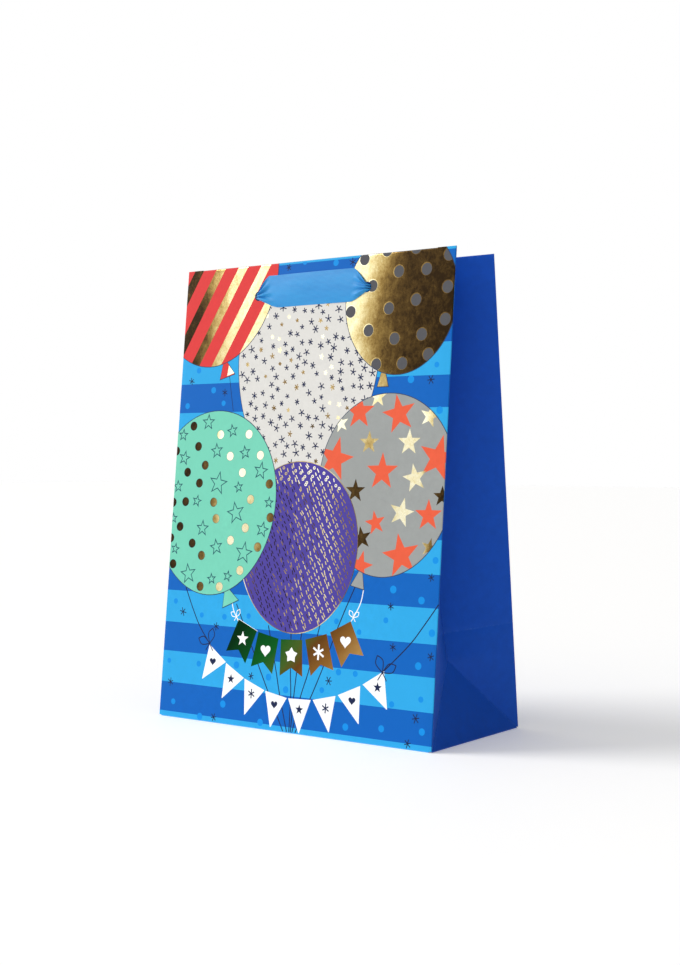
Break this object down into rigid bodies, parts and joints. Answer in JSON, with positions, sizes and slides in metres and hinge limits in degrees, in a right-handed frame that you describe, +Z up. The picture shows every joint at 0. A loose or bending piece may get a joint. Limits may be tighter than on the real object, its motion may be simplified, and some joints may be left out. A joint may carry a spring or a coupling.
{
  "type": "gift bag",
  "caption": "Upright paper gift bag with a balloon-pattern front, folding side gussets, a flat glued base and two ribbon handles that pull out through the walls.",
  "frame": {"origin": "middle of the base, on the surface that the bag stands on", "axes": "+Z up; the printed front wall faces -Y; +X is to the right as the front is looked at"},
  "size_m": [0.18, 0.085, 0.2494],
  "materials": {
    "printed_front": "coated paper with a printed and foil-stamped pattern",
    "blue_paper": "coated paper, satin, white inside",
    "stiffener_card": "grey board, matte",
    "ribbon": "woven polyester ribbon, soft sheen"
  },
  "bodies": {
    "base": {"base_front_flap": "blue_paper", "base_rear_flap": "blue_paper", "base_right_flap": "blue_paper", "base_left_flap": "blue_paper", "base_card": "stiffener_card"},
    "front_wall": {"front_wall": "printed_front", "front_rim_card": "stiffener_card", "front_turn_in": "blue_paper"},
    "rear_wall": {"rear_wall": "blue_paper", "rear_rim_card": "stiffener_card", "rear_turn_in": "blue_paper", "side_seam_tab": "blue_paper"},
    "gusset_right_front": {"gusset_right_front": "blue_paper", "gusset_turn_in_right_front": "blue_paper"},
    "gusset_right_rear": {"gusset_right_rear": "blue_paper", "gusset_turn_in_right_rear": "blue_paper"},
    "gusset_base_right": {"gusset_base_right": "blue_paper"},
    "gusset_left_front": {"gusset_left_front": "blue_paper", "gusset_turn_in_left_front": "blue_paper"},
    "gusset_left_rear": {"gusset_left_rear": "blue_paper", "gusset_turn_in_left_rear": "blue_paper"},
    "gusset_base_left": {"gusset_base_left": "blue_paper"},
    "front_handle": {"front_ribbon_span": "ribbon", "front_ribbon_end_right": "ribbon", "front_ribbon_end_left": "ribbon", "front_ribbon_tail_right": "ribbon", "front_ribbon_tail_left": "ribbon", "front_ribbon_knot_right": "ribbon", "front_ribbon_knot_left": "ribbon"},
    "rear_handle": {"rear_ribbon_span": "ribbon", "rear_ribbon_end_right": "ribbon", "rear_ribbon_end_left": "ribbon", "rear_ribbon_tail_right": "ribbon", "rear_ribbon_tail_left": "ribbon", "rear_ribbon_knot_right": "ribbon", "rear_ribbon_knot_left": "ribbon"}
  },
  "joints": [
    {"name": "mouth_fold", "type": "hinge", "parent": "base", "child": "front_wall", "pos_m": [0, -0.04205, 0.00045], "axis": [-1, 0, 0], "range_deg": [-3, 2.6]},
    {"name": "rear_wall_fold", "type": "hinge", "parent": "base", "child": "rear_wall", "pos_m": [0, 0.04205, 0.00045], "axis": [1, 0, 0], "range_deg": [-3, 2.6]},
    {"name": "gusset_right_front_fold", "type": "hinge", "parent": "front_wall", "child": "gusset_right_front", "pos_m": [0.08955, -0.04205, 0.00045], "axis": [0, 0.0952, 0.9955], "range_deg": [-19.2, 16.64]},
    {"name": "gusset_right_rear_fold", "type": "hinge", "parent": "rear_wall", "child": "gusset_right_rear", "pos_m": [0.08955, 0.04205, 0.00045], "axis": [0, 0.0952, -0.9955], "range_deg": [-19.2, 16.64]},
    {"name": "gusset_base_right_fold", "type": "hinge", "parent": "base", "child": "gusset_base_right", "pos_m": [0.08955, 0, 0.00045], "axis": [0, -1, 0], "range_deg": [-6.75, 5.85]},
    {"name": "gusset_left_front_fold", "type": "hinge", "parent": "front_wall", "child": "gusset_left_front", "pos_m": [-0.08955, -0.04205, 0.00045], "axis": [0, -0.0952, -0.9955], "range_deg": [-19.2, 16.64]},
    {"name": "gusset_left_rear_fold", "type": "hinge", "parent": "rear_wall", "child": "gusset_left_rear", "pos_m": [-0.08955, 0.04205, 0.00045], "axis": [0, -0.0952, 0.9955], "range_deg": [-19.2, 16.64]},
    {"name": "gusset_base_left_fold", "type": "hinge", "parent": "base", "child": "gusset_base_left", "pos_m": [-0.08955, 0, 0.00045], "axis": [0, 1, 0], "range_deg": [-6.75, 5.85]},
    {"name": "front_handle_slide", "type": "slide", "parent": "front_wall", "child": "front_handle", "axis": [0, 0.0952, 0.9955], "range_m": [0, 0.1], "deforming": ["front_ribbon_end_right", "front_ribbon_end_left", "front_ribbon_tail_right", "front_ribbon_tail_left"]},
    {"name": "rear_handle_slide", "type": "slide", "parent": "rear_wall", "child": "rear_handle", "axis": [0, -0.0952, 0.9955], "range_m": [0, 0.1], "deforming": ["rear_ribbon_end_right", "rear_ribbon_end_left", "rear_ribbon_tail_right", "rear_ribbon_tail_left"]}
  ],
  "couplings": [
    {"joint": "rear_wall_fold", "follows": "mouth_fold", "ratio": 1},
    {"joint": "gusset_right_front_fold", "follows": "mouth_fold", "ratio": 6.4},
    {"joint": "gusset_right_rear_fold", "follows": "mouth_fold", "ratio": 6.4},
    {"joint": "gusset_base_right_fold", "follows": "mouth_fold", "ratio": 2.25},
    {"joint": "gusset_left_front_fold", "follows": "mouth_fold", "ratio": 6.4},
    {"joint": "gusset_left_rear_fold", "follows": "mouth_fold", "ratio": 6.4},
    {"joint": "gusset_base_left_fold", "follows": "mouth_fold", "ratio": 2.25}
  ]
}
